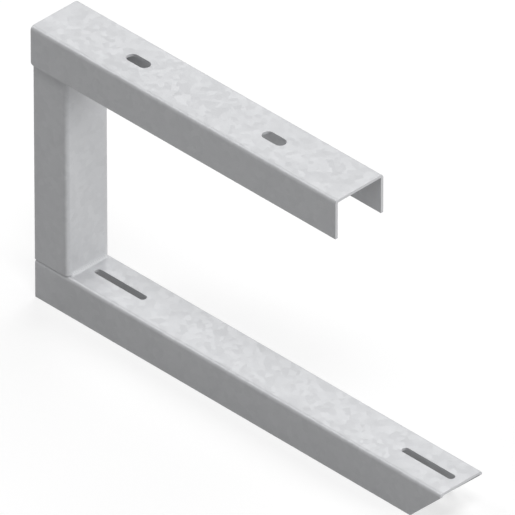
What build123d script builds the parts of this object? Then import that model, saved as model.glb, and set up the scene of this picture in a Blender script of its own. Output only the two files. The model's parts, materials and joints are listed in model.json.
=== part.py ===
from build123d import *
import math
import os

# Cable tray hanger bracket, in millimetres: three channels folded from steel sheet and
# welded into a C. The top arm is bolted under a ceiling, the post hangs from it and the
# lower arm carries the tray.
#
# The origin is on the ceiling face of the top arm, halfway between its two slots.
# +X runs along the arms to their free ends, +Y across the bracket and +Z up.

# Sheet and folds, the same for all three channels
sheet = 3.0
bend_inside = 1.0
bend_outside = bend_inside + sheet

# Post, a channel with its web towards the tray
post_width = 50.0
post_depth = 39.0

# Top arm, a channel whose flanges lap over the sides of the post
lap_clearance = 0.25
top_arm_width = post_width + 2 * (lap_clearance + sheet)
top_arm_depth = 39.0
top_arm_length = 360.0
back_corner_radius = 3.0

# Lower arm, a channel flush with the post
lower_arm_width = post_width
lower_arm_depth = 39.0
lower_arm_length = 480.0
nose_angle = 45.0

# Height from the ceiling face down to the face that the tray rests on
drop = 240.0

# Slots for the ceiling bolts, centred this far from each end of the top arm
ceiling_slot_length = 25.0
ceiling_slot_width = 11.0
ceiling_slot_setback = 100.0

# Slots for the tray bolts, ending this far from the post and from the arm's tip
tray_slot_length = 60.0
tray_slot_width = 7.0
tray_slot_margin = 8.5

# Hollow-faced fillet welds: the face meets the steel at the toe angle
weld_leg = 3.0
weld_toe_angle = 9.0

# Places worked out from the sizes
back_x = -top_arm_length / 2
post_face_x = back_x + post_depth
tip_x = back_x + lower_arm_length
head_z = -sheet
foot_z = -drop
post_flat_width = post_width - 2 * bend_outside


def channel_section(width, depth):
    """Section of a folded channel: the outside of its web is centred on the origin, facing +Y."""
    with BuildSketch() as section:
        with BuildLine():
            FilletPolyline(
                (-width / 2, -depth),
                (-width / 2, 0),
                (width / 2, 0),
                (width / 2, -depth),
                radius=bend_outside,
            )
            offset(amount=sheet, side=Side.RIGHT)
        make_face()
    return section.sketch


def fillet_weld_section():
    """Section of a fillet weld in the corner at the origin, with its legs along +X and +Y."""
    half_turn = math.radians(45 - weld_toe_angle)
    chord = weld_leg * math.sqrt(2)
    hollow = chord / 2 * math.tan(half_turn / 2)
    with BuildSketch() as section:
        with BuildLine():
            legs = Polyline((weld_leg, 0), (0, 0), (0, weld_leg))
            SagittaArc(legs @ 0, legs @ 1, hollow)
        make_face()
    return section.sketch


# Top arm
with BuildPart() as top_arm:
    with BuildSketch(Plane.YZ.offset(back_x)):
        add(channel_section(top_arm_width, top_arm_depth))
    extrude(amount=top_arm_length)
    back_edges = top_arm.edges().filter_by(Axis.Y).group_by(Axis.X)[0]
    fillet(back_edges.group_by(Axis.Z)[0], radius=back_corner_radius)
    with BuildSketch(Plane.XY):
        with GridLocations(top_arm_length - 2 * ceiling_slot_setback, 0, 2, 1):
            SlotOverall(ceiling_slot_length, ceiling_slot_width)
    extrude(amount=-sheet, mode=Mode.SUBTRACT)
top_arm.part.label = "top_arm"

# Post. Its top corners are cut back to clear the folds of the top arm, so that it
# seats against the underside of the web.
with BuildPart() as post:
    with BuildSketch(Plane((post_face_x, 0, foot_z), x_dir=(0, -1, 0), z_dir=(0, 0, 1))):
        add(channel_section(post_width, post_depth))
    extrude(amount=head_z - foot_z)
    with BuildSketch(Plane.YZ.offset(back_x)):
        with BuildLine():
            Polyline(
                (post_width / 2, head_z),
                (post_width / 2 - bend_inside, head_z),
                (post_width / 2, head_z - bend_inside),
                close=True,
            )
        make_face()
        mirror(about=Plane.YZ)
    extrude(amount=post_depth, mode=Mode.SUBTRACT)
post.part.label = "post"

# Lower arm. Its flanges are mitred back from the fold to their lower edge at the tip.
with BuildPart() as lower_arm:
    with BuildSketch(Plane.YZ.offset(back_x)):
        with Locations((0, foot_z)):
            add(channel_section(lower_arm_width, lower_arm_depth))
    extrude(amount=lower_arm_length)
    mitre_height = lower_arm_depth - bend_outside
    mitre_run = mitre_height / math.tan(math.radians(nose_angle))
    with BuildSketch(Plane.XZ):
        with BuildLine():
            Polyline(
                (tip_x, foot_z - bend_outside),
                (tip_x, foot_z - lower_arm_depth),
                (tip_x - mitre_run, foot_z - lower_arm_depth),
                close=True,
            )
        make_face()
    extrude(amount=lower_arm_width / 2, both=True, mode=Mode.SUBTRACT)
    with BuildSketch(Plane.XY.offset(foot_z)):
        slot_inset = tray_slot_margin + tray_slot_length / 2
        with Locations((post_face_x + slot_inset, 0), (tip_x - slot_inset, 0)):
            SlotOverall(tray_slot_length, tray_slot_width)
    extrude(amount=-sheet, mode=Mode.SUBTRACT)
lower_arm.part.label = "lower_arm"

# Foot weld, in the corner between the post's web and the top of the lower arm
with BuildPart() as foot_weld:
    with BuildSketch(Plane.XZ):
        with Locations((post_face_x, foot_z)):
            add(fillet_weld_section())
    extrude(amount=post_flat_width / 2, both=True)
foot_weld.part.label = "foot_weld"

# Head weld, in the corner between the post's web and the underside of the top arm
with BuildPart() as head_weld:
    with BuildSketch(Plane((post_face_x, 0, head_z), x_dir=(1, 0, 0), z_dir=(0, 1, 0))):
        add(fillet_weld_section())
    extrude(amount=post_flat_width / 2, both=True)
head_weld.part.label = "head_weld"

os.makedirs("parts", exist_ok=True)
for piece in (top_arm, post, lower_arm, foot_weld, head_weld):
    export_step(piece.part, f"parts/{piece.part.label}.step")
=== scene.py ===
import json
import math
from collections import namedtuple

import bmesh
import bpy
from bpy.props import FloatProperty, FloatVectorProperty, IntProperty, PointerProperty
from mathutils import Matrix, Vector


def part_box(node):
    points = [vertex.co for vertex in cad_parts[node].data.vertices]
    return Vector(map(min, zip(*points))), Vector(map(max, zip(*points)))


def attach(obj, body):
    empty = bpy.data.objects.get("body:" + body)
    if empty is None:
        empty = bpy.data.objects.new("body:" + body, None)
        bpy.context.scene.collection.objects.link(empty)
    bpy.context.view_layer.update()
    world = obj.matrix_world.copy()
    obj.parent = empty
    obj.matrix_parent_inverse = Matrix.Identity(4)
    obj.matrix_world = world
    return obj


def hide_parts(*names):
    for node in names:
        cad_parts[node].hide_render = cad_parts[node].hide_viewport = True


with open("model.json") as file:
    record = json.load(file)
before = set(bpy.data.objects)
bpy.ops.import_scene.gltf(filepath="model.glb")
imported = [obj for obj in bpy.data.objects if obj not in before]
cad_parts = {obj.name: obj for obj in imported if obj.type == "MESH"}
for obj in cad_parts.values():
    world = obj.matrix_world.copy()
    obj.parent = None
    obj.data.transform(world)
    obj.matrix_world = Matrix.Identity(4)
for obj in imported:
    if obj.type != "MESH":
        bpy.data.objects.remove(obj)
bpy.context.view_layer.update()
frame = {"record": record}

# A cable tray hanger bracket in metres, in the frame of its packed model: +X runs along
# the arms to their free ends, +Y across the bracket and +Z up to the ceiling. Each channel
# is folded from half its outline, and each weld is spun from its lower edge. Every piece
# takes the place of the packed solid that it is named after.
bl_info = {
    "name": "Cable tray hanger bracket",
    "version": (1, 0, 0),
    "blender": (4, 5, 0),
    "location": "3D View > Sidebar > Bracket",
    "description": "Folds and welds a galvanised cable tray bracket and sets it on a lit floor",
    "category": "Object",
}

# Sizes read from the packed model
top_arm_low, top_arm_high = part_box("top_arm")
post_low, post_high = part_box("post")
lower_arm_low, lower_arm_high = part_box("lower_arm")
foot_weld_low, foot_weld_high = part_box("foot_weld")
packed_sheet = top_arm_high.z - post_high.z
packed_fold_radius = post_high.y - foot_weld_high.y
packed_weld_leg = foot_weld_high.x - foot_weld_low.x

# The two ends of the post's web. At its head +X is turned down the post, and +Z out of its web.
foot_of_post = Matrix.Translation((post_high.x, 0, lower_arm_high.z))
head_of_post = Matrix.Translation((post_high.x, 0, post_high.z)) @ Matrix.Rotation(math.pi / 2, 4, "Y")

MILLIMETRE = 0.001
MERGE_DISTANCE = 1e-6
CRISP_ANGLE = math.radians(50)
EDGE_STEPS = 3
FLOOR_HALF_WIDTH = 30.0

# Each channel has two materials: the first on the faces that were rolled, and this one where
# the sheet was sheared or punched.
CUT_FACE = 1

# Patterns in the zinc: how wide each is, and how far the edges of the crystals wander. The
# rolling lines run along the sheet, and the feathers of each crystal a way of their own, so
# these have a length and two widths.
ROLLING_LINE = (0.11, 0.0024, 0.0024)
FEATHER = (0.004, 0.0004, 0.0004)
CLOUD = 0.06
CRYSTAL_WANDER = 0.004
SHEET_GRAIN = 0.0007
CUT_GRAIN = 0.0009
WELD_PIT = 0.0007
WELD_PATCH = 0.004

# Shares of those patterns in the sheet's tone, gloss and relief
SHEET_TONE = {"crystals": 0.4, "feathers": 0.3, "clouds": 0.2, "lines": 0.1}
SHEET_GLOSS = {"crystals": 0.4, "feathers": 0.3, "lines": 0.3}
SHEET_HEIGHT = {"feathers": 0.4, "seams": 0.25, "grain": 0.25, "lines": 0.1}

# How dark and light the other zinc goes, from 0 for dark zinc to 1 for light, how smooth and
# rough, and how deep each relief is
CUT_TONE = (0.5, 1.2)
CUT_ROUGHNESS = (0.48, 0.64)
WELD_TONE = (0.0, 0.7)
WELD_ROUGHNESS = (0.49, 0.64)
SHEET_RELIEF = 0.00012
CUT_RELIEF = 0.00006
WELD_RELIEF = 0.0001

WHITE = (1, 1, 1, 1)
MIDDLE_GREY = (0.5, 0.5, 0.5)

# Make of a weld's ripples: how fine their mesh is, how far each one leans over the next, after
# how many the welder's hand has slowed and sped up again, and what is left of the bead at its ends
STEPS_ACROSS_WELD = 12
STEPS_A_RIPPLE = 12
RIPPLE_LEAN = 0.7
RIPPLES_A_DRIFT = 5.3
WELD_END = 0.3

Slots = namedtuple("Slots", "centres length width")
Channel = namedtuple("Channel", "length width depth slots")
Lamp = namedtuple("Lamp", "name towards spread mirrored")

NO_SLOTS = Slots(centres=(), length=0, width=0)

# Soft lights, with the way to each. The side light comes in low, under the top arm. Nothing
# mirrors it, because on the webs it would be glare. The fold light is there for the folds to mirror.
LAMPS = (
    Lamp("key_light", (0.30, -0.235, 0.925), math.radians(20), mirrored=True),
    Lamp("side_light", (0.95, 0.22, 0.14), math.radians(25), mirrored=False),
    Lamp("fold_light", (-0.577, -0.29, 0.763), math.radians(22), mirrored=True),
    Lamp("back_light", (-0.12, 0.55, 0.80), math.radians(45), mirrored=True),
)


class SheetSizes(bpy.types.PropertyGroup):
    """Sizes that the folded channels share."""

    thickness: FloatProperty(
        name="Sheet",
        description="Thickness of the steel sheet",
        default=packed_sheet,
        min=0.0005,
        subtype="DISTANCE",
    )
    fold_radius: FloatProperty(
        name="Fold radius",
        description="Radius of the outside of each fold",
        default=packed_fold_radius,
        min=0.001,
        subtype="DISTANCE",
    )
    fold_steps: IntProperty(
        name="Fold steps",
        description="Flats that round each fold",
        default=10,
        min=3,
    )
    slot_steps: IntProperty(
        name="Slot steps",
        description="Flats that round each quarter of a slot's end",
        default=8,
        min=2,
    )
    edge_rounding: FloatProperty(
        name="Edge rounding",
        description="Radius that the zinc gives to the cut edges",
        default=0.0003,
        min=0.00005,
        subtype="DISTANCE",
    )
    back_corner_radius: FloatProperty(
        name="Back corners",
        description="Radius of the lower back corners of the top arm's flanges",
        default=0.003,
        min=0.0005,
        subtype="DISTANCE",
    )
    nose_angle: FloatProperty(
        name="Nose angle",
        description="Slope of the mitre at the tip of the lower arm",
        default=math.radians(45),
        min=math.radians(20),
        max=math.radians(80),
        subtype="ANGLE",
    )


class WeldSizes(bpy.types.PropertyGroup):
    """Sizes of the two fillet welds."""

    leg: FloatProperty(
        name="Leg",
        description="How far each weld reaches out of its corner",
        default=packed_weld_leg,
        min=0.001,
        subtype="DISTANCE",
    )
    toe_angle: FloatProperty(
        name="Toe angle",
        description="Angle at which the hollow face of a weld meets the steel",
        default=math.radians(9),
        min=math.radians(1),
        max=math.radians(40),
        subtype="ANGLE",
    )
    ripple_pitch: FloatProperty(
        name="Ripple pitch",
        description="Distance from one ripple of a weld to the next",
        default=0.0021,
        min=0.0005,
        subtype="DISTANCE",
    )
    ripple_height: FloatProperty(
        name="Ripple height",
        description="How far the ripples stand out of the weld's face",
        default=0.00026,
        min=0.0,
        subtype="DISTANCE",
    )
    ripple_bow: FloatProperty(
        name="Ripple bow",
        description="How far the middle of a ripple runs ahead of its ends",
        default=0.0014,
        min=0.0,
        subtype="DISTANCE",
    )
    ripple_drift: FloatProperty(
        name="Ripple drift",
        description="How far a ripple may be out of step with an even row",
        default=math.radians(35),
        min=0.0,
        subtype="ANGLE",
    )
    end_rounding: FloatProperty(
        name="End rounding",
        description="Length over which the ends of a weld round off",
        default=0.0020,
        min=0.0001,
        subtype="DISTANCE",
    )


class ZincFinish(bpy.types.PropertyGroup):
    """Colours and gloss of the galvanised finish."""

    light_zinc: FloatVectorProperty(
        name="Light zinc",
        description="Colour of the brightest zinc crystals",
        default=(0.648, 0.654, 0.668),
        min=0.0,
        max=1.0,
        subtype="COLOR",
    )
    dark_zinc: FloatVectorProperty(
        name="Dark zinc",
        description="Colour of the dullest zinc crystals",
        default=(0.552, 0.559, 0.574),
        min=0.0,
        max=1.0,
        subtype="COLOR",
    )
    metallic: FloatProperty(
        name="Metallic",
        description="Share of the surface that is bare zinc, and not its dull film",
        default=0.25,
        min=0.0,
        max=1.0,
        subtype="FACTOR",
    )
    smoothest: FloatProperty(
        name="Smoothest",
        description="Roughness of the glossiest crystals",
        default=0.34,
        min=0.0,
        max=1.0,
        subtype="FACTOR",
    )
    roughest: FloatProperty(
        name="Roughest",
        description="Roughness of the dullest crystals",
        default=0.54,
        min=0.0,
        max=1.0,
        subtype="FACTOR",
    )
    crystal_size: FloatProperty(
        name="Crystal size",
        description="Usual width of a zinc crystal",
        default=0.0055,
        min=0.001,
        subtype="DISTANCE",
    )
    crystal_lean: FloatProperty(
        name="Crystal lean",
        description="How far the faces of the zinc crystals lean out of the sheet",
        default=math.radians(2.1),
        min=0.0,
        max=math.radians(20),
        subtype="ANGLE",
    )


class StageSettings(bpy.types.PropertyGroup):
    """Floor, light and camera."""

    floor_colour: FloatVectorProperty(
        name="Floor",
        description="Colour that the lamps give the floor, and that is missing in a full shadow",
        default=(0.36, 0.36, 0.36),
        min=0.0,
        max=1.0,
        subtype="COLOR",
    )
    floor_glow: FloatProperty(
        name="Floor glow",
        description="White that the floor shows even in a full shadow",
        default=0.7,
        min=0.0,
        max=1.0,
        subtype="FACTOR",
    )
    floor_bounce: FloatVectorProperty(
        name="Floor bounce",
        description="Colour with which the floor throws light back on the bracket",
        default=(0.11, 0.11, 0.11),
        min=0.0,
        max=1.0,
        subtype="COLOR",
    )
    sky: FloatProperty(
        name="Sky",
        description="Even light from all around, as a share of full light",
        default=0.03,
        min=0.0,
    )
    key_light: FloatProperty(
        name="Key light",
        description="Strength of the light from steep above the front, as a share of full light",
        default=0.32,
        min=0.0,
    )
    side_light: FloatProperty(
        name="Side light",
        description="Strength of the light from the arms' free ends, as a share of full light",
        default=0.66,
        min=0.0,
    )
    fold_light: FloatProperty(
        name="Fold light",
        description="Strength of the light that the folds mirror, as a share of full light",
        default=0.17,
        min=0.0,
    )
    back_light: FloatProperty(
        name="Back light",
        description="Strength of the large light from above and behind, as a share of full light",
        default=0.42,
        min=0.0,
    )
    lens: FloatProperty(
        name="Lens",
        description="Focal length in millimetres, long enough to keep parallel edges parallel",
        default=1500.0,
        min=50.0,
        unit="CAMERA",
    )
    azimuth: FloatProperty(
        name="Azimuth",
        description="How far the camera stands round from the front to the tip's side",
        default=math.radians(45),
        subtype="ANGLE",
    )
    elevation: FloatProperty(
        name="Elevation",
        description="How far the camera stands above the horizon",
        default=math.atan(math.sqrt(0.5)),
        subtype="ANGLE",
    )
    distance: FloatProperty(
        name="Distance",
        description="How far the camera stands from the point that it looks at",
        default=17.9118,
        min=1.0,
        subtype="DISTANCE",
    )
    aim: FloatVectorProperty(
        name="Aim",
        description="Point in the middle of the picture",
        default=(0.057312, 0.003222, -0.13409),
        subtype="TRANSLATION",
    )


def slots_of(mount_name, start):
    """The slots of a bolt pattern in the record, with their centres measured from the channel's start."""
    mount = next(each for each in frame["record"]["mounts"] if each["name"] == mount_name)
    sizes = mount["dims"]
    half_spacing = sizes["spacing_x_mm"] * MILLIMETRE / 2
    middle = mount["pos_m"][0] - start
    return Slots(
        centres=(middle - half_spacing, middle + half_spacing),
        length=sizes["slot_length_mm"] * MILLIMETRE,
        width=2 * sizes["hole_r_mm"] * MILLIMETRE,
    )


def add_half_web(bm, channel, half_flat, slot_steps):
    """Half of a channel's flat web, cut along its centre line through the slots. Returns its fold line."""
    slots = channel.slots
    outline = [(0, 0)]
    for centre in slots.centres:
        start = centre - slots.length / 2
        end = centre + slots.length / 2
        outline += [(start, 0), (start, slots.width / 2), (end, slots.width / 2), (end, 0)]
    outline += [(channel.length, 0), (channel.length, half_flat), (0, half_flat)]
    corners = [bm.verts.new((x, y, 0)) for x, y in outline]
    bm.faces.new(corners)
    slot_corners = [corner for corner in corners if 0 < corner.co.y < half_flat - MERGE_DISTANCE]
    if slot_corners:
        round_corners(bm, slot_corners, slots.width / 2, slot_steps)
        bmesh.ops.remove_doubles(bm, verts=bm.verts, dist=MERGE_DISTANCE)
    return bm.edges.get(corners[-2:])


def round_corners(bm, corners, radius, steps):
    """Rounds corners of a flat face in its own plane."""
    bmesh.ops.bevel(
        bm,
        geom=corners,
        offset=radius,
        offset_type="OFFSET",
        segments=steps,
        profile=0.5,
        affect="VERTICES",
        clamp_overlap=False,
        material=-1,
    )


def fold_flange(bm, fold_line, depth, sizes):
    """Folds the web down along its fold line into a flange. Returns the flange's lower corners."""
    axis_height = -sizes.fold_radius
    folded = bmesh.ops.spin(
        bm,
        geom=[fold_line, *fold_line.verts],
        cent=(0, fold_line.verts[0].co.y, axis_height),
        axis=(1, 0, 0),
        angle=-math.pi / 2,
        steps=sizes.fold_steps,
        use_merge=False,
        use_duplicate=False,
    )
    fold_end = [each for each in folded["geom_last"] if isinstance(each, bmesh.types.BMEdge)]
    flange = bmesh.ops.extrude_edge_only(bm, edges=fold_end)["geom"]
    lower_corners = [each for each in flange if isinstance(each, bmesh.types.BMVert)]
    bmesh.ops.translate(bm, verts=lower_corners, vec=(0, 0, sizes.fold_radius - depth))
    return lower_corners


def half_channel(channel, sizes):
    """Half the outer skin of a channel, along +X from the origin with its web on top.

    Returns the skin and the lower corners of its flange.
    """
    if sizes.fold_radius <= sizes.thickness:
        raise ValueError("The outside of a fold needs a larger radius than the sheet's thickness.")
    bm = bmesh.new()
    half_flat = channel.width / 2 - sizes.fold_radius
    fold_line = add_half_web(bm, channel, half_flat, sizes.slot_steps)
    lower_corners = fold_flange(bm, fold_line, channel.depth, sizes)
    return bm, lower_corners


def everything(bm):
    """All vertices, edges and faces, as the cutting and mirroring operators take them."""
    return bm.verts[:] + bm.edges[:] + bm.faces[:]


def thicken(bm, sizes):
    """Mirrors half a skin to a whole channel and gives it the sheet's thickness, inwards."""
    bmesh.ops.mirror(bm, geom=everything(bm), axis="Y", merge_dist=MERGE_DISTANCE)
    bmesh.ops.remove_doubles(bm, verts=bm.verts, dist=MERGE_DISTANCE)
    bmesh.ops.recalc_face_normals(bm, faces=bm.faces)
    outside = set(bm.verts)
    bmesh.ops.solidify(bm, geom=bm.faces[:], thickness=sizes.thickness)
    for face in bm.faces:
        on_outside = [corner in outside for corner in face.verts]
        if any(on_outside) and not all(on_outside):
            face.material_index = CUT_FACE


def cut_back_corner(bm, side, half_width, amount):
    """Takes the outer corner off the start of one flange, to clear the fold of the arm above it."""
    cut = bmesh.ops.bisect_plane(
        bm,
        geom=everything(bm),
        dist=MERGE_DISTANCE,
        plane_co=(0, side * (half_width - amount), 0),
        plane_no=Vector((-1, side, 0)).normalized(),
        clear_outer=True,
    )
    rim = [each for each in cut["geom_cut"] if isinstance(each, bmesh.types.BMEdge)]
    bmesh.ops.edgeloop_fill(bm, edges=rim, mat_nr=CUT_FACE)


def round_cut_edges(bm, radius):
    """Rounds every crisp edge that the shears and the punch leave."""
    crisp = [edge for edge in bm.edges if edge.calc_face_angle() > CRISP_ANGLE]
    bmesh.ops.bevel(
        bm,
        geom=crisp,
        offset=radius,
        offset_type="OFFSET",
        segments=EDGE_STEPS,
        profile=0.5,
        affect="EDGES",
        clamp_overlap=True,
        loop_slide=True,
        material=-1,
    )
    bmesh.ops.remove_doubles(bm, verts=bm.verts, dist=MERGE_DISTANCE)


def split_many_sided(bm):
    """Splits the faces with more than four corners into triangles, none of them a sliver."""
    many_sided = [face for face in bm.faces if len(face.verts) > 4]
    bmesh.ops.triangulate(bm, faces=many_sided, quad_method="BEAUTY", ngon_method="BEAUTY")


def show_object(name, data):
    """The object of that name with its new data, made anew or kept from the last press of a button."""
    shown = bpy.data.objects.get(name)
    if shown is None:
        shown = bpy.data.objects.new(name, data)
        bpy.context.scene.collection.objects.link(shown)
    shown.data = data
    return shown


def show_piece(bm, name, node, materials):
    """Puts a finished mesh into the object of that name, which stands for a packed node."""
    split_many_sided(bm)
    mesh = bpy.data.meshes.new(name)
    for face in bm.faces:
        face.smooth = True
    for edge in bm.edges:
        edge.smooth = edge.calc_face_angle() < CRISP_ANGLE
    bm.to_mesh(mesh)
    bm.free()
    for material in materials:
        mesh.materials.append(material)
    piece = show_object(name, mesh)
    if not piece.modifiers:
        flat_faces = piece.modifiers.new("flat faces stay flat", "WEIGHTED_NORMAL")
        flat_faces.keep_sharp = True
    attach(piece, "root")
    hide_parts(node)


def channel_materials(context, grain):
    """The rolled and the cut finish of a channel whose sheet was rolled along grain, X or Z."""
    finish = context.scene.bracket_zinc
    return [zinc_sheet(finish, grain), zinc_cut_edge(finish)]


def add_node(tree, kind, inputs=None, **settings):
    """Adds a shader node. inputs maps socket names to values, or to the sockets that feed them."""
    node = tree.nodes.new(kind)
    for name, value in settings.items():
        setattr(node, name, value)
    for name, value in (inputs or {}).items():
        if isinstance(value, bpy.types.NodeSocket):
            tree.links.new(value, node.inputs[name])
        else:
            node.inputs[name].default_value = value
    return node


def empty_material(name):
    """A material of that name with an empty node tree, new or kept from the last press of a button."""
    material = bpy.data.materials.get(name) or bpy.data.materials.new(name)
    material.use_nodes = True
    material.node_tree.nodes.clear()
    return material


def blend(tree, factor, low, high):
    """A number that goes from low to high as factor goes from 0 to 1."""
    return add_node(
        tree,
        "ShaderNodeMapRange",
        {"Value": factor, "To Min": low, "To Max": high},
    ).outputs["Result"]


def zinc_colour(tree, factor, finish):
    """A colour that goes from dark to light zinc as factor goes from 0 to 1."""
    ramp = add_node(tree, "ShaderNodeValToRGB", {"Fac": factor})
    ramp.color_ramp.elements[0].color = (*finish.dark_zinc, 1)
    ramp.color_ramp.elements[1].color = (*finish.light_zinc, 1)
    return ramp.outputs["Color"]


def weighted(tree, shares, **sockets):
    """The sum of the named sockets, each times its share."""
    total = 0.0
    for name, share in shares.items():
        total = add_node(
            tree,
            "ShaderNodeMath",
            {0: sockets[name], 1: share, 2: total},
            operation="MULTIPLY_ADD",
        ).outputs["Value"]
    return total


def noise(tree, place, width, output="Fac"):
    """Soft noise whose features are about that wide."""
    return add_node(tree, "ShaderNodeTexNoise", {"Vector": place, "Scale": 1 / width}).outputs[output]


def vector_math(tree, operation, *inputs):
    """The result of a vector operation on sockets or vectors."""
    node = add_node(tree, "ShaderNodeVectorMath", dict(enumerate(inputs)), operation=operation)
    return node.outputs["Vector"]


def ragged_crystals(tree, place, size):
    """Zinc crystals with ragged edges: a random colour for each, and the distance to its edge."""
    wander = noise(tree, place, CRYSTAL_WANDER, "Color")
    ragged = vector_math(tree, "MULTIPLY_ADD", wander, [CRYSTAL_WANDER] * 3, place)
    pattern = {"Vector": ragged, "Scale": 1 / size}
    crystals = add_node(tree, "ShaderNodeTexVoronoi", pattern)
    seams = add_node(tree, "ShaderNodeTexVoronoi", pattern, feature="DISTANCE_TO_EDGE")
    return crystals.outputs["Color"], seams.outputs["Distance"]


def streaks(tree, place, size):
    """Noise stretched along X into streaks, of a length and two widths."""
    return noise(tree, vector_math(tree, "DIVIDE", place, size), 1.0)


def crystal_feathers(tree, place, crystal_colour):
    """Fine streaks that run another way in each crystal."""
    turn = vector_math(tree, "MULTIPLY", crystal_colour, [2 * math.pi] * 3)
    turned = add_node(
        tree,
        "ShaderNodeVectorRotate",
        {"Vector": place, "Rotation": turn},
        rotation_type="EULER_XYZ",
    )
    return streaks(tree, turned.outputs["Vector"], FEATHER)


def leaning_faces(tree, crystal_colour, lean):
    """The surface's normal, leaned over by up to the lean in each crystal's own direction."""
    aside = vector_math(tree, "SUBTRACT", crystal_colour, MIDDLE_GREY)
    straight = add_node(tree, "ShaderNodeNewGeometry").outputs["Normal"]
    leaned = vector_math(tree, "MULTIPLY_ADD", aside, [2 * math.tan(lean)] * 3, straight)
    return vector_math(tree, "NORMALIZE", leaned)


def zinc_shader(tree, finish, colour, roughness, bump):
    """The surface of every zinc finish."""
    inputs = {
        "Base Color": colour,
        "Roughness": roughness,
        "Metallic": finish.metallic,
        "Normal": bump.outputs["Normal"],
    }
    shader = add_node(tree, "ShaderNodeBsdfPrincipled", inputs)
    add_node(tree, "ShaderNodeOutputMaterial", {"Surface": shader.outputs["BSDF"]})


def zinc_sheet(finish, grain):
    """Galvanised sheet: ragged zinc crystals, cloudy patches and faint lines along the grain, X or Z."""
    material = empty_material(f"galvanised_sheet_along_{grain}")
    tree = material.node_tree
    turn = (0, math.pi / 2, 0) if grain == "Z" else (0, 0, 0)
    place = add_node(tree, "ShaderNodeTexCoord").outputs["Object"]
    along = add_node(tree, "ShaderNodeMapping", {"Vector": place, "Rotation": turn}).outputs["Vector"]
    crystal_colour, seams = ragged_crystals(tree, along, finish.crystal_size)
    crystal = add_node(tree, "ShaderNodeSeparateColor", {"Color": crystal_colour}).outputs
    patterns = {
        "feathers": crystal_feathers(tree, along, crystal_colour),
        "lines": streaks(tree, along, ROLLING_LINE),
        "clouds": noise(tree, along, CLOUD),
        "grain": noise(tree, along, SHEET_GRAIN),
        "seams": seams,
    }
    tone = weighted(tree, SHEET_TONE, crystals=crystal["Red"], **patterns)
    gloss = weighted(tree, SHEET_GLOSS, crystals=crystal["Green"], **patterns)
    height = weighted(tree, SHEET_HEIGHT, **patterns)
    facing = leaning_faces(tree, crystal_colour, finish.crystal_lean)
    bump = {"Height": height, "Distance": SHEET_RELIEF, "Normal": facing}
    zinc_shader(
        tree,
        finish,
        colour=zinc_colour(tree, tone, finish),
        roughness=blend(tree, gloss, finish.smoothest, finish.roughest),
        bump=add_node(tree, "ShaderNodeBump", bump),
    )
    return material


def zinc_cut_edge(finish):
    """The zinc over a sheared or punched edge: light, without crystals, and grainy from the cut."""
    material = empty_material("galvanised_cut_edge")
    tree = material.node_tree
    grain = noise(tree, add_node(tree, "ShaderNodeTexCoord").outputs["Object"], CUT_GRAIN)
    zinc_shader(
        tree,
        finish,
        colour=zinc_colour(tree, blend(tree, grain, *CUT_TONE), finish),
        roughness=blend(tree, grain, *CUT_ROUGHNESS),
        bump=add_node(tree, "ShaderNodeBump", {"Height": grain, "Distance": CUT_RELIEF}),
    )
    return material


def zinc_weld(finish):
    """The zinc over a weld bead: dull, patchy and finely pitted."""
    material = empty_material("galvanised_weld")
    tree = material.node_tree
    place = add_node(tree, "ShaderNodeTexCoord").outputs["Object"]
    patches = noise(tree, place, WELD_PATCH)
    pits = noise(tree, place, WELD_PIT)
    zinc_shader(
        tree,
        finish,
        colour=zinc_colour(tree, blend(tree, patches, *WELD_TONE), finish),
        roughness=blend(tree, patches, *WELD_ROUGHNESS),
        bump=add_node(tree, "ShaderNodeBump", {"Height": pits, "Distance": WELD_RELIEF}),
    )
    return material


def ripple_rise(across, along, sizes):
    """How far a weld's face stands out: bowed ripples, each over the next, that die away at its toes."""
    bow = 4 * across * (1 - across) * sizes.ripple_bow
    turn = 2 * math.pi * (along - bow) / sizes.ripple_pitch
    turn += sizes.ripple_drift * math.sin(turn / RIPPLES_A_DRIFT)
    crest = 0.5 + 0.5 * math.sin(turn + RIPPLE_LEAN * math.sin(turn))
    return sizes.ripple_height * math.sin(math.pi * across) * crest


def weld_face(length, half_turn, centre, sizes):
    """The hollow face of a weld along Y, spun from its lower toe and cut finely enough for ripples."""
    bm = bmesh.new()
    toe = bm.verts.new((sizes.leg, -length / 2, 0))
    bmesh.ops.spin(
        bm,
        geom=[toe],
        cent=centre,
        axis=(0, 1, 0),
        angle=2 * half_turn,
        steps=STEPS_ACROSS_WELD,
        use_merge=False,
        use_duplicate=False,
    )
    face = bmesh.ops.extrude_edge_only(bm, edges=bm.edges[:])["geom"]
    far_end = [each for each in face if isinstance(each, bmesh.types.BMVert)]
    bmesh.ops.translate(bm, verts=far_end, vec=(0, length, 0))
    long_edges = [edge for edge in bm.edges if edge.calc_length() > length / 2]
    cuts = round(STEPS_A_RIPPLE * length / sizes.ripple_pitch)
    bmesh.ops.subdivide_edges(bm, edges=long_edges, cuts=cuts, use_grid_fill=True)
    return bm


def raise_ripples(bm, half_turn, centre, sizes):
    """Lifts a weld's face into its ripples, away from the axis that it was spun about."""
    for point in bm.verts:
        spoke = Vector((point.co.x, 0, point.co.z)) - centre
        from_middle = math.copysign(spoke.angle(-centre), point.co.z - point.co.x)
        across = min(max(0.5 + from_middle / (2 * half_turn), 0), 1)
        point.co -= spoke.normalized() * ripple_rise(across, point.co.y, sizes)


def round_off_ends(bm, length, sizes):
    """Draws both ends of a weld's face in towards its corner."""
    for point in bm.verts:
        from_end = min(1, (length / 2 - abs(point.co.y)) / sizes.end_rounding)
        left = WELD_END + (1 - WELD_END) * math.sqrt(1 - (1 - from_end) ** 2)
        point.co.x *= left
        point.co.z *= left


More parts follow.
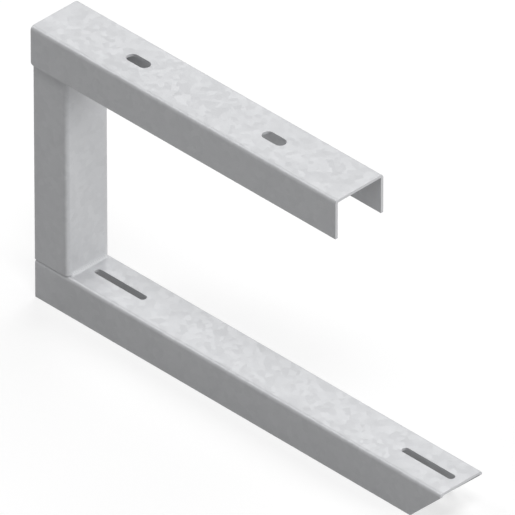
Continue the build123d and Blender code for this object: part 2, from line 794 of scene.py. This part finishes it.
def close_to_corner(bm):
    """Closes a weld's face with walls that run from its rim to the line of its corner, along Y."""
    rim = [edge for edge in bm.edges if edge.is_boundary]
    walls = bmesh.ops.extrude_edge_only(bm, edges=rim)["geom"]
    corner_line = [each for each in walls if isinstance(each, bmesh.types.BMVert)]
    bmesh.ops.scale(bm, verts=corner_line, vec=(0, 1, 0))
    bmesh.ops.remove_doubles(bm, verts=bm.verts, dist=MERGE_DISTANCE)
    bmesh.ops.recalc_face_normals(bm, faces=bm.faces)


def weld_bead(length, sizes):
    """A fillet weld along Y, centred on the origin, in the corner between +X and +Z.

    Its hollow face is an arc from toe to toe, about a centre on the line that halves the corner.
    """
    half_turn = math.pi / 4 - sizes.toe_angle
    radius = sizes.leg * math.sqrt(0.5) / math.sin(half_turn)
    reach = sizes.leg / 2 + radius * math.cos(half_turn) * math.sqrt(0.5)
    centre = Vector((reach, 0, reach))
    bm = weld_face(length, half_turn, centre, sizes)
    raise_ripples(bm, half_turn, centre, sizes)
    round_off_ends(bm, length, sizes)
    close_to_corner(bm)
    return bm


class BRACKET_OT_top_arm(bpy.types.Operator):
    """Fold the top arm, with the slots for the ceiling bolts"""

    bl_idname = "bracket.top_arm"
    bl_label = "Top arm"
    bl_options = {"REGISTER", "UNDO"}

    def execute(self, context):
        sizes = context.scene.bracket_sheet
        length, width, depth = top_arm_high - top_arm_low
        channel = Channel(length, width, depth, slots_of("ceiling_slots", top_arm_low.x))
        bm, lower_corners = half_channel(channel, sizes)
        back_corner = [corner for corner in lower_corners if corner.co.x < length / 2]
        round_corners(bm, back_corner, sizes.back_corner_radius, sizes.slot_steps)
        thicken(bm, sizes)
        round_cut_edges(bm, sizes.edge_rounding)
        bmesh.ops.translate(bm, verts=bm.verts, vec=(top_arm_low.x, 0, top_arm_high.z))
        materials = channel_materials(context, "X")
        show_piece(bm, "top_arm_channel", "top_arm", materials)
        return {"FINISHED"}


class BRACKET_OT_post(bpy.types.Operator):
    """Fold the post and stand it upright, with its web towards the tray"""

    bl_idname = "bracket.post"
    bl_label = "Post"
    bl_options = {"REGISTER", "UNDO"}

    def execute(self, context):
        sizes = context.scene.bracket_sheet
        depth, width, length = post_high - post_low
        bm, _ = half_channel(Channel(length, width, depth, NO_SLOTS), sizes)
        thicken(bm, sizes)
        for side in (-1, 1):
            cut_back_corner(bm, side, width / 2, sizes.fold_radius - sizes.thickness)
        round_cut_edges(bm, sizes.edge_rounding)
        bmesh.ops.transform(bm, matrix=head_of_post, verts=bm.verts)
        show_piece(bm, "post_channel", "post", channel_materials(context, "Z"))
        return {"FINISHED"}


class BRACKET_OT_lower_arm(bpy.types.Operator):
    """Fold the lower arm, with the slots for the tray bolts and its mitred nose"""

    bl_idname = "bracket.lower_arm"
    bl_label = "Lower arm"
    bl_options = {"REGISTER", "UNDO"}

    def execute(self, context):
        sizes = context.scene.bracket_sheet
        length, width, depth = lower_arm_high - lower_arm_low
        channel = Channel(length, width, depth, slots_of("tray_slots", lower_arm_low.x))
        bm, _ = half_channel(channel, sizes)
        bmesh.ops.bisect_plane(
            bm,
            geom=everything(bm),
            dist=MERGE_DISTANCE,
            plane_co=(length, 0, -sizes.fold_radius),
            plane_no=(math.sin(sizes.nose_angle), 0, -math.cos(sizes.nose_angle)),
            clear_outer=True,
        )
        thicken(bm, sizes)
        round_cut_edges(bm, sizes.edge_rounding)
        bmesh.ops.translate(bm, verts=bm.verts, vec=(lower_arm_low.x, 0, lower_arm_high.z))
        materials = channel_materials(context, "X")
        show_piece(bm, "lower_arm_channel", "lower_arm", materials)
        return {"FINISHED"}


class BRACKET_OT_welds(bpy.types.Operator):
    """Run the fillet welds at the foot and at the head of the post"""

    bl_idname = "bracket.welds"
    bl_label = "Welds"
    bl_options = {"REGISTER", "UNDO"}

    def execute(self, context):
        sizes = context.scene.bracket_weld
        length = foot_weld_high.y - foot_weld_low.y
        for node, place in (("foot_weld", foot_of_post), ("head_weld", head_of_post)):
            bm = weld_bead(length, sizes)
            bmesh.ops.transform(bm, matrix=place, verts=bm.verts)
            show_piece(bm, f"{node}_bead", node, [zinc_weld(context.scene.bracket_zinc)])
        return {"FINISHED"}


def mix_shaders(tree, factor, first, second):
    """A shader that goes from the first to the second as factor goes from 0 to 1."""
    mix = add_node(tree, "ShaderNodeMixShader", {0: factor, 1: first, 2: second})
    return mix.outputs["Shader"]


def floor_material(settings):
    """A white floor with a pale shadow, which throws little light back and is clear from below."""
    material = empty_material("pale_floor")
    tree = material.node_tree
    glow = add_node(tree, "ShaderNodeEmission", {"Color": WHITE, "Strength": settings.floor_glow})
    lit = add_node(tree, "ShaderNodeBsdfDiffuse", {"Color": (*settings.floor_colour, 1)})
    seen = add_node(tree, "ShaderNodeAddShader", {0: glow.outputs["Emission"], 1: lit.outputs["BSDF"]})
    bounce = add_node(tree, "ShaderNodeBsdfDiffuse", {"Color": (*settings.floor_bounce, 1)})
    clear = add_node(tree, "ShaderNodeBsdfTransparent")
    path = add_node(tree, "ShaderNodeLightPath").outputs
    surface = add_node(tree, "ShaderNodeNewGeometry").outputs
    upper = mix_shaders(tree, path["Is Diffuse Ray"], seen.outputs["Shader"], bounce.outputs["BSDF"])
    whole = mix_shaders(tree, surface["Backfacing"], upper, clear.outputs["BSDF"])
    add_node(tree, "ShaderNodeOutputMaterial", {"Surface": whole})
    material.cycles.emission_sampling = "NONE"
    return material


def add_floor(settings):
    """The floor under the bracket, which stands on the lower edges of its lower arm."""
    bm = bmesh.new()
    bmesh.ops.create_grid(bm, x_segments=1, y_segments=1, size=FLOOR_HALF_WIDTH)
    bmesh.ops.translate(bm, verts=bm.verts, vec=(0, 0, lower_arm_low.z))
    mesh = bpy.data.meshes.new("floor")
    bm.to_mesh(mesh)
    bm.free()
    mesh.materials.append(floor_material(settings))
    show_object("floor", mesh)


def light_world(settings):
    """A sky that looks white, and is dimmer as a light."""
    world = bpy.data.worlds.get("studio") or bpy.data.worlds.new("studio")
    world.use_nodes = True
    tree = world.node_tree
    tree.nodes.clear()
    path = add_node(tree, "ShaderNodeLightPath").outputs
    seen = 0.0
    for ray in ("Is Camera Ray", "Is Glossy Ray", "Is Transmission Ray"):
        seen = add_node(tree, "ShaderNodeMath", {0: path[ray], 1: seen}, operation="ADD").outputs["Value"]
    strength = blend(tree, seen, settings.sky, 1.0)
    sky = add_node(tree, "ShaderNodeBackground", {"Color": WHITE, "Strength": strength})
    add_node(tree, "ShaderNodeOutputWorld", {"Surface": sky.outputs["Background"]})
    world.cycles.sampling_method = "NONE"
    bpy.context.scene.world = world


def add_lamps(settings):
    """Suns, which light the whole floor evenly. Each has its strength in the setting of its name."""
    for lamp in LAMPS:
        light = bpy.data.lights.get(lamp.name) or bpy.data.lights.new(lamp.name, "SUN")
        light.energy = getattr(settings, lamp.name) * math.pi
        light.angle = lamp.spread
        shown = show_object(lamp.name, light)
        shown.visible_glossy = lamp.mirrored
        shown.rotation_euler = Vector(lamp.towards).to_track_quat("Z", "Y").to_euler()


def add_camera(settings):
    """A camera far off, with a long lens, which looks down on the front and the tip's side."""
    camera = bpy.data.cameras.get("camera") or bpy.data.cameras.new("camera")
    camera.lens = settings.lens
    camera.clip_end = 2 * settings.distance
    shown = show_object("camera", camera)
    level = math.cos(settings.elevation)
    towards_camera = Vector((
        math.sin(settings.azimuth) * level,
        -math.cos(settings.azimuth) * level,
        math.sin(settings.elevation),
    ))
    shown.location = Vector(settings.aim) + settings.distance * towards_camera
    shown.rotation_euler = towards_camera.to_track_quat("Z", "Y").to_euler()
    bpy.context.scene.camera = shown


class BRACKET_OT_stage(bpy.types.Operator):
    """Set up the pale floor, the soft light and the camera"""

    bl_idname = "bracket.stage"
    bl_label = "Floor, light and camera"
    bl_options = {"REGISTER", "UNDO"}

    def execute(self, context):
        settings = context.scene.bracket_stage
        add_floor(settings)
        light_world(settings)
        add_lamps(settings)
        add_camera(settings)
        context.scene.view_settings.view_transform = "Standard"
        return {"FINISHED"}


class BRACKET_PT_panel(bpy.types.Panel):
    """Sizes and finishes of the bracket, with a button for each of its pieces"""

    bl_idname = "BRACKET_PT_panel"
    bl_label = "Cable tray hanger bracket"
    bl_space_type = "VIEW_3D"
    bl_region_type = "UI"
    bl_category = "Bracket"

    def draw(self, context):
        for operator in OPERATORS:
            self.layout.operator(operator.bl_idname)
        for name, group in SETTINGS.items():
            box = self.layout.box()
            box.label(text=group.__doc__)
            for setting in group.__annotations__:
                box.prop(getattr(context.scene, name), setting)


OPERATORS = (
    BRACKET_OT_top_arm,
    BRACKET_OT_post,
    BRACKET_OT_lower_arm,
    BRACKET_OT_welds,
    BRACKET_OT_stage,
)
SETTINGS = {
    "bracket_sheet": SheetSizes,
    "bracket_weld": WeldSizes,
    "bracket_zinc": ZincFinish,
    "bracket_stage": StageSettings,
}


def register():
    for name, group in SETTINGS.items():
        bpy.utils.register_class(group)
        setattr(bpy.types.Scene, name, PointerProperty(type=group))
    for operator in OPERATORS:
        bpy.utils.register_class(operator)
    bpy.utils.register_class(BRACKET_PT_panel)


def unregister():
    bpy.utils.unregister_class(BRACKET_PT_panel)
    for operator in reversed(OPERATORS):
        bpy.utils.unregister_class(operator)
    for name, group in reversed(SETTINGS.items()):
        delattr(bpy.types.Scene, name)
        bpy.utils.unregister_class(group)


def main():
    """Makes every piece and the stage."""
    register()
    bpy.ops.bracket.top_arm()
    bpy.ops.bracket.post()
    bpy.ops.bracket.lower_arm()
    bpy.ops.bracket.welds()
    bpy.ops.bracket.stage()


if __name__ == "__main__":
    main()
